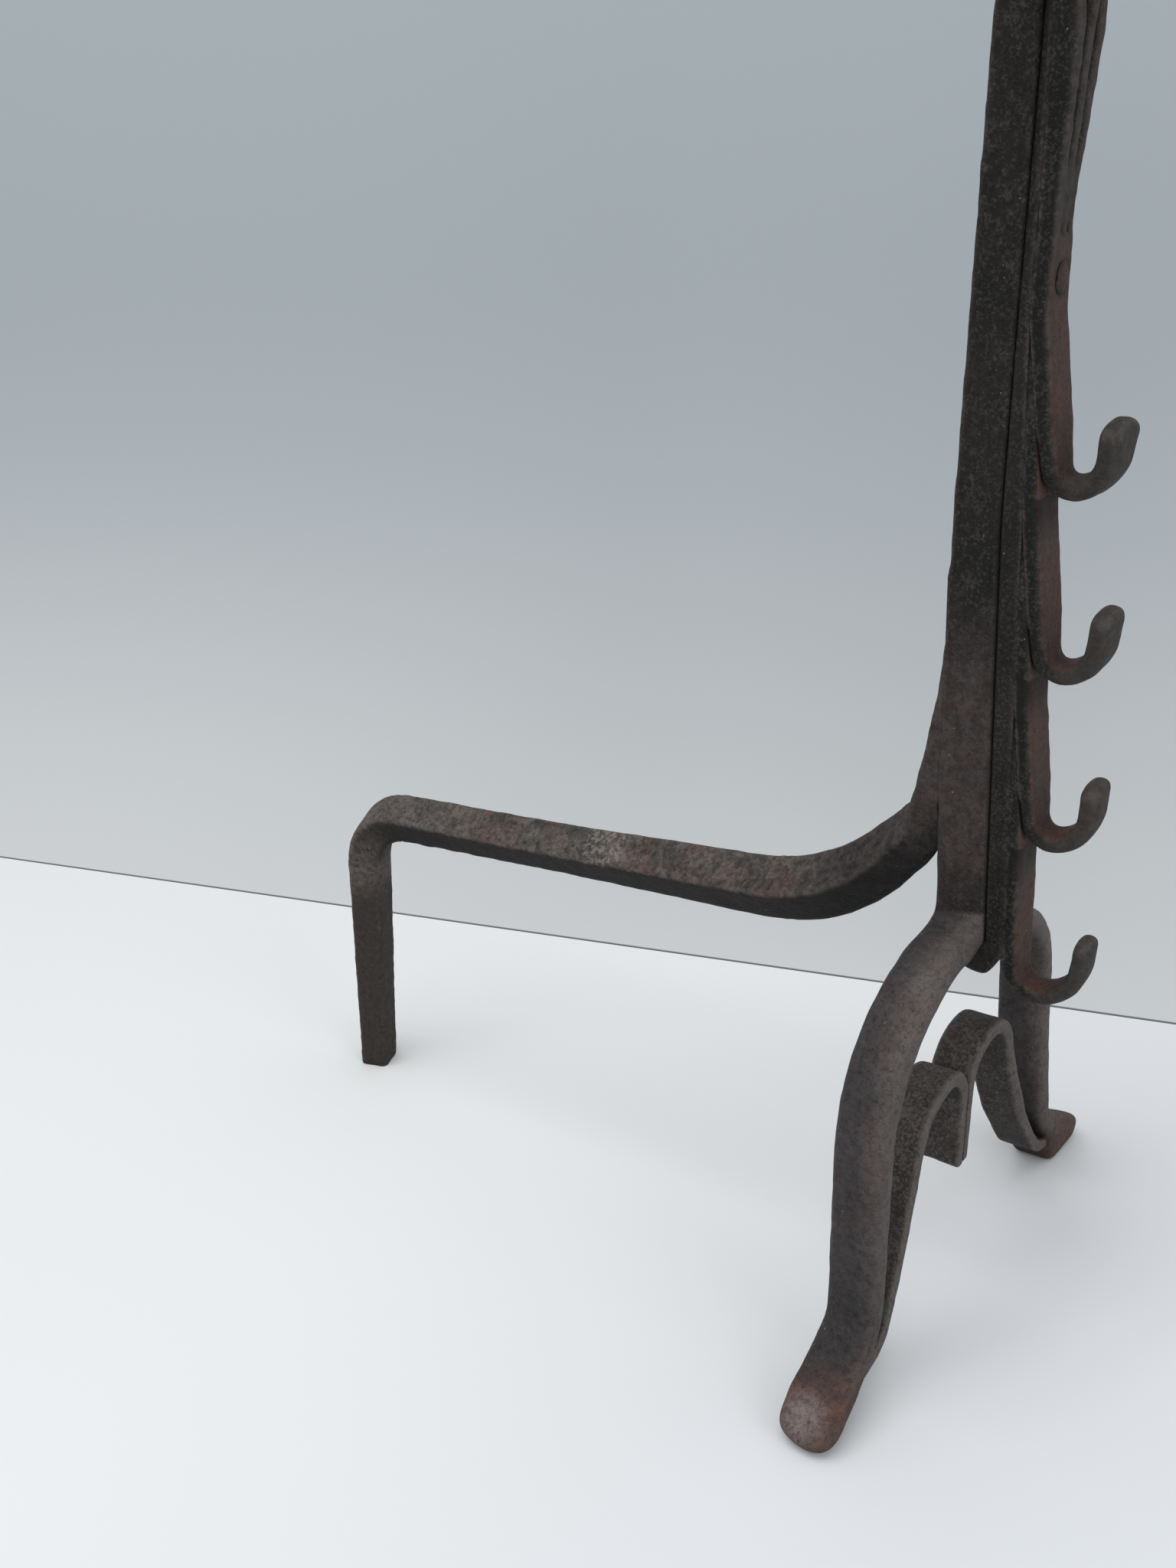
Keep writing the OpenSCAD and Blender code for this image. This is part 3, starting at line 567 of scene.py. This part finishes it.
def settle(node, places):
    """Moves the points of an even bar to where the real one lies."""
    x, y, z = places.T
    if node in LEGS:
        out = smooth_step(np.abs(x), 15 * MM, 48 * MM) * (z < 400 * MM)    # not the basket's prongs
        shoulder = out * smooth_step(z, 60 * MM, 170 * MM)
        z += shoulder * (LEFT_SHOULDER_RISE if node == "left_leg_bar" else -RIGHT_SHOULDER_DROP)
    if node == "right_leg_bar":
        y -= RIGHT_FOOT_FORWARD * (1 - smooth_step(z, 0, 150 * MM))
    if node == "right_scroll":
        outer = smooth_step(x, 55 * MM, 80 * MM)
        y -= RIGHT_FOOT_FORWARD * outer * (1 - smooth_step(z, 0, 150 * MM))
        x += RIGHT_SCROLL_SWEEP * outer * np.clip(1 - z / (62 * MM), 0, 1) ** 1.5
    if node == "log_bar":
        run = smooth_step(y, -120 * MM, 0) * (1 - smooth_step(y, 100 * MM, 235 * MM))
        y -= LOG_WELD_DRAW * smooth_step(z, 335 * MM, 400 * MM)
        z += LOG_RUN_RISE * run
        turn_along(places, bent_line(LOG_LINE), LOG_TURNS)
    if node == "core_bar":
        low = 1 - smooth_step(z, 205 * MM, 222 * MM)
        y += CORE_END_BACK * low
        z += CORE_END_RISE * low
        z += 0.9 * np.maximum(z.min() + 5 * MM - z, 0)    # its rounded end is beaten flat


# Where the front, the middle and the back of a leg lie along Y
LEG_FRONT, LEG_MIDDLE, LEG_BACK = -187 * MM, -173 * MM, -160 * MM


def camber(node, places, normals):
    """The legs are a little fuller along the middle of their outer face."""
    if node in LEGS:
        x, y, z = places.T
        outer = smooth_step(np.sign(x) * normals[:, 0] + np.maximum(normals[:, 2], 0), 0.3, 0.8)
        full = np.clip(1 - ((y - LEG_MIDDLE) / (LEG_MIDDLE - LEG_FRONT)) ** 2, 0, 1)
        below = 1 - smooth_step(z, 215 * MM, 235 * MM)
        places += normals * (LEG_FULLNESS * outer * full * below)[:, None]


def fill_toe(node, places, normals):
    """The toe and the scroll's end are welded into one thick foot that rests on the floor."""
    if node == "right_leg_bar":
        x, z = places[:, 0], places[:, 2]
        under = smooth_step(-normals[:, 2], 0.2, 0.7) * smooth_step(x, 110 * MM, 124 * MM)
        places[:, 2] = z - under * (z - 1.0 * MM) * (z < 30 * MM)


def hammer(place, depth, size, seed):
    """How far out of its face a point comes to lie: dishes of one size, below 0 in the middle of
    each, with some unevenness."""
    near = noise.voronoi(place / size + seed)[0][0]
    rough = noise.noise(place / (0.45 * size) - seed)
    return depth * (near * near - 0.35) + 0.35 * depth * rough


def curvature(places, normals, pairs):
    """How sharply the skin bends at each point, per metre: above 0 on arrises, below in hollows."""
    a, b = pairs.T
    step = places[a] - places[b]
    bend = np.einsum("ij,ij->i", step, normals[a] - normals[b]) / np.einsum("ij,ij->i", step, step)
    n = len(places)
    mean = sum_at_points(bend, bend, pairs, n) / edges_at_points(pairs, n)
    return neighbour_mean(mean, pairs, 3)


def set_mask(mesh, name, values):
    attribute = mesh.attributes.new(name, "FLOAT", "POINT")
    attribute.data.foreach_set("value", np.clip(values, 0, 1).astype(np.float32))


def shade_under_next_hook(start):
    """Painted shade on a hook's bar, under the next hook. Over the top hook there is none."""
    under_next = smooth_step((start[:, 2] - HOOK_FOOT) % HOOK_STEP, 60 * MM, 82 * MM)
    return 0.8 * under_next * (start[:, 2] < HOOK_FOOT + 3 * HOOK_STEP)


# Where the toes are pale, partly from wear and partly as a painted highlight, for both sides, and
# the crease where the legs leave the column:
# its height at the back of the leg, and its rise towards the front
TOE_RUB_AND_HIGHLIGHT = np.array([151, -158, 10]) * MM
CREASE_HEIGHT, CREASE_RISE = 236 * MM, 1 / 6


def paint_leg(mesh, start):
    """What only the legs' iron reads: below the crease, from front to back for painted shade and
    light, and the toe's pale patch of wear and painted highlight.
    """
    crease = CREASE_HEIGHT - CREASE_RISE * (start[:, 1] - LEG_BACK)
    set_mask(mesh, "shin", 1 - smooth_step(start[:, 2] - crease, -1.5 * MM, 1.5 * MM))
    # From front to back: carries painted light at the front and painted shade at the back.
    set_mask(mesh, "back", smooth_step(start[:, 1], LEG_FRONT, LEG_BACK - 1 * MM))
    # The toe's pale patch: partly wear, partly a painted highlight.
    from_rub = np.abs(start) * (1, -1, 1) - TOE_RUB_AND_HIGHLIGHT
    set_mask(mesh, "rub_and_highlight", 1 - smooth_step(np.linalg.norm(from_rub, axis=1), 6 * MM, 19 * MM))


def paint_masks(mesh, node, start, gaps, seam, shut):
    """What the iron's finish reads: arrises, soot and painted shade in hollows and seams, fronts,
    and painted shade on undersides.
    start holds the places that the points had on the CAD bar."""
    places, normals, pairs = read_mesh(mesh)
    curve = curvature(places, normals, pairs)
    depth = neighbour_mean(normals[:, 1].astype(float), pairs, 4)
    rise = neighbour_mean(normals[:, 2].astype(float), pairs, 4)
    close = neighbour_mean(1 - smooth_step(gaps, 0.3 * MM, 1.5 * MM), pairs, 1)
    close *= 1 - 0.6 * smooth_step(start[:, 2], 400 * MM, 560 * MM)
    hollow = (-curve - 60.0) / 120.0
    arris = (curve - 70.0) / 160.0
    # Partly soot, partly painted shade: hollows and points close against another bar are darkened,
    # less so high up.
    soot_and_shade = np.maximum(close, hollow)
    front = smooth_step(-depth, 0.45, 0.85)
    if node in HOOKS:
        front = np.maximum(front, smooth_step(rise, 0.3, 0.8))
        soot_and_shade = np.maximum(soot_and_shade, shade_under_next_hook(start))
    set_mask(mesh, "arris", (1 - seam) * arris)
    set_mask(mesh, "soot_and_shade", (1 - shut) * soot_and_shade)
    set_mask(mesh, "front", (1 - shut) * front)
    # Painted shade: how far each face turns downwards.
    set_mask(mesh, "under", smooth_step(-rise, -0.1, 0.5))
    if node in LEGS:
        paint_leg(mesh, start)


def skinned_copy(name, node, voxel):
    """An object with a merged copy of a CAD node's mesh, under an even skin of small faces."""
    bm = bmesh.new()
    bm.from_mesh(nodes[node].data)
    bmesh.ops.remove_doubles(bm, verts=bm.verts, dist=1e-6)
    blank = bpy.data.meshes.new(name + "_blank")
    bm.to_mesh(blank)
    bm.free()
    piece = bpy.data.objects.new(name, blank)
    bpy.context.scene.collection.objects.link(piece)
    skin = piece.modifiers.new("skin", "REMESH")
    skin.mode = "VOXEL"
    skin.voxel_size = voxel
    depsgraph = bpy.context.evaluated_depsgraph_get()
    mesh = bpy.data.meshes.new_from_object(piece.evaluated_get(depsgraph))
    piece.modifiers.clear()
    piece.data = mesh
    bpy.data.meshes.remove(blank)
    return piece


def forge(name, node, voxel, soften, depth, size, material):
    """A bar with softened arrises and hammer marks. Where it lies against another bar it stays
    as it is, so that seams stay tight, and seams that are hammered shut are drawn together."""
    piece = skinned_copy(name, node, voxel)
    mesh = piece.data
    places, normals, pairs = read_mesh(mesh)
    start = places.copy()
    gaps, _ = gaps_to([n for n in nodes if n != node], places)
    seam = neighbour_mean(1 - smooth_step(gaps, 0.5 * MM, 2.4 * MM), pairs, 2)
    shut, way = shut_seams(node, places)
    drawn = smooth_step(shut, 0.1, 0.5)
    flush = drawn * smooth_step(np.abs(normals[:, 0]), 0.15, 0.5)
    places[:, 0] += flush * (np.sign(places[:, 0]) * COLUMN_SIDE - places[:, 0])
    places[:, 1] += SEAM_DRAW * drawn * way
    camber(node, places, normals)
    fill_toe(node, places, normals)
    settle(node, places)
    share = 0.5 * (1 - 0.9 * np.maximum(seam, shut))
    for axis in range(3):
        places[:, axis] = neighbour_mean(places[:, axis], pairs, soften, share)
    move_to(mesh, places)
    paint_masks(mesh, node, start, gaps, seam, shut)
    _, normals, _ = read_mesh(mesh)
    seed = Vector((len(name), 3.7 * len(node), 1.3)) * 2.1    # its own marks on each piece
    beaten = np.array([hammer(Vector(p), depth, size, seed) for p in places])
    beaten += 0.018 * MM * soften                             # what the softening took off
    places += normals * (beaten * (1 - np.maximum(seam, shut)))[:, None]
    places[:, 2] = np.maximum(places[:, 2], 0.0)
    move_to(mesh, places)
    mesh.polygons.foreach_set("use_smooth", [True] * len(mesh.polygons))
    mesh.materials.clear()
    mesh.materials.append(material)
    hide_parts(node)
    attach(piece, "root")
    return piece


BARS = [
    # piece, node, voxel, rounds of softening, hammer depth, hammer size, material, record slot
    ("forged_left_leg", "left_leg_bar", 1.2 * MM, 24, 0.5 * MM, 17 * MM, LEG, "forged_iron"),
    ("forged_right_leg", "right_leg_bar", 1.2 * MM, 24, 0.5 * MM, 17 * MM, LEG, "forged_iron"),
    ("forged_core", "core_bar", 1.1 * MM, 4, 0.4 * MM, 15 * MM, COLUMN, "forged_iron"),
    ("forged_top_hook", "top_hook_fork", 0.9 * MM, 24, 0.45 * MM, 12 * MM, HOOK, "forged_iron"),
    ("forged_second_hook", "second_hook", 0.9 * MM, 24, 0.45 * MM, 12 * MM, HOOK, "forged_iron"),
    ("forged_third_hook", "third_hook", 0.9 * MM, 24, 0.45 * MM, 12 * MM, HOOK, "forged_iron"),
    ("forged_bottom_hook", "bottom_hook", 0.9 * MM, 24, 0.45 * MM, 12 * MM, HOOK, "forged_iron"),
    ("forged_left_scroll", "left_scroll", 1.0 * MM, 4, 0.4 * MM, 14 * MM, SCROLL, "worn_iron"),
    ("forged_right_scroll", "right_scroll", 1.0 * MM, 4, 0.4 * MM, 14 * MM, SCROLL, "worn_iron"),
    ("forged_log_bar", "log_bar", 1.2 * MM, 4, 0.6 * MM, 18 * MM, LOG, "burnt_iron"),
    ("beaten_rivet", "column_rivet", 0.45 * MM, 4, 0.25 * MM, 6 * MM, HOOK, "worn_iron"),
    ("rim_band", "rim_hoop", 1.0 * MM, 3, 0.3 * MM, 13 * MM, COLUMN, "forged_iron"),
    ("rim_rivet_heads", "rim_rivets", 0.45 * MM, 3, 0.2 * MM, 5 * MM, HOOK, "worn_iron"),
    ("brace_ring", "waist_ring", 0.8 * MM, 2, 0.25 * MM, 9 * MM, COLUMN, "forged_iron"),
]
for name, node, voxel, soften, depth, size, material, slot in BARS:
    forge(name, node, voxel, soften, depth, size, material)


# ---- Floor, wall and light

def plain_sheet(name, corners, shades, axis, none_at, full_at):
    """A flat pale sheet that isn't part of the andiron, graded along an axis between two shades,
    which paints light onto it.
    """
    bm = bmesh.new()
    bm.faces.new([bm.verts.new(c) for c in corners])
    mesh = bpy.data.meshes.new(name)
    bm.to_mesh(mesh)
    bm.free()
    sheet = bpy.data.objects.new(name, mesh)
    bpy.context.scene.collection.objects.link(sheet)
    material, t, shader, where = start_material(name)
    shade = t.mix(along_axis(t, where, axis, none_at, full_at, ragged=0.0), *shades)
    t.wire(shade, shader.inputs["Base Color"])
    shader.inputs["Roughness"].default_value = 0.9
    shader.inputs["Specular IOR Level"].default_value = 0.1
    mesh.materials.append(material)
    return sheet, t, shader, where, shade


def make_floor():
    reach = 4.0
    corners = [(-reach, -reach, 0), (reach, -reach, 0), (reach, reach, 0), (-reach, reach, 0)]
    # Painted light: darker towards the front, lighter towards the back.
    shades = colour(0.75, 0.77, 0.79), colour(0.83, 0.84, 0.845)
    plain_sheet("pale_floor", corners, shades, "Y", -0.25, 0.2)


def make_wall():
    """A wall behind the andiron, with a thin painted shadow along its foot, where it meets the
    floor. From its back it can't be seen, and it neither shades the andiron nor throws light on it."""
    reach, height = 4.0, Vector((0, 0, 3.0))
    foot = Vector((0.249, 0.091, 0.0))                  # a spot on the joint in the photograph
    way = Vector((0.1416, -0.609, 0.0)).normalized()    # and the way that the joint runs
    corners = [foot + reach * way, foot + reach * way + height,
               foot - reach * way + height, foot - reach * way]
    # Painted light: lighter near the floor, darker higher up.
    shades = colour(0.70, 0.715, 0.72), colour(0.39, 0.43, 0.455)
    wall, t, shader, where, shade = plain_sheet("pale_wall", corners, shades, "Z", -0.05, 0.55)
    # Painted shadow: a thin dark line along the wall's foot.
    foot_shadow = along_axis(t, where, "Z", none_at=2.2 * MM, full_at=1.0 * MM, ragged=0.0)
    t.wire(t.mix(foot_shadow, shade, FOOT_SHADOW_GREY), shader.inputs["Base Color"])
    mix = t.add("ShaderNodeMixShader")
    t.wire(t.add("ShaderNodeNewGeometry").outputs["Backfacing"], mix.inputs[0])
    t.wire(shader.outputs[0], mix.inputs[1])
    t.wire(t.add("ShaderNodeBsdfTransparent").outputs[0], mix.inputs[2])
    t.wire(mix.outputs[0], t.tree.nodes["Material Output"].inputs["Surface"])
    wall.visible_shadow = False
    wall.visible_diffuse = False
    wall.visible_glossy = False


def make_sky():
    world = bpy.data.worlds.new("soft_sky")
    bpy.context.scene.world = world
    world.use_nodes = True
    sky = world.node_tree.nodes["Background"].inputs
    sky["Color"].default_value = colour(0.91, 0.93, 0.95)
    sky["Strength"].default_value = 0.70


def soft_lamp(name, place, target, size, power):
    data = bpy.data.lights.new(name, "AREA")
    data.shape = "RECTANGLE"
    data.size, data.size_y = size
    data.energy = power
    lamp = bpy.data.objects.new(name, data)
    bpy.context.scene.collection.objects.link(lamp)
    way = (Vector(target) - Vector(place)).normalized()
    lamp.matrix_world = Matrix.Translation(place) @ way.to_track_quat("-Z", "Y").to_matrix().to_4x4()


make_floor()
make_wall()
make_sky()
soft_lamp("sky_lamp", (-0.9, 0.1, 2.4), (0, 0, 0.2), size=(2.2, 1.8), power=26)
soft_lamp("side_lamp", (-0.6, -2.2, 1.3), (0, 0, 0.3), size=(1.4, 1.4), power=10)


# ---- Camera, solved from the legs, the column and the hooks in the photograph

LENS, SENSOR = 36.33, 36.0                    # mm
EYE = (-0.68572, -0.44938, 0.62585)           # metres
TURN, DOWN, ROLL = 36.836, 23.275, -4.014     # degrees


def make_camera():
    data = bpy.data.cameras.new("camera")
    data.sensor_width = SENSOR
    data.lens = LENS
    data.clip_start = 0.01
    camera = bpy.data.objects.new("camera", data)
    bpy.context.scene.collection.objects.link(camera)
    camera.matrix_world = (Matrix.Translation(EYE)
                           @ Matrix.Rotation(math.radians(TURN - 90), 4, "Z")
                           @ Matrix.Rotation(math.radians(90 - DOWN), 4, "X")
                           @ Matrix.Rotation(math.radians(ROLL), 4, "Z"))
    bpy.context.scene.camera = camera


make_camera()
bpy.context.scene.view_settings.view_transform = "Standard"
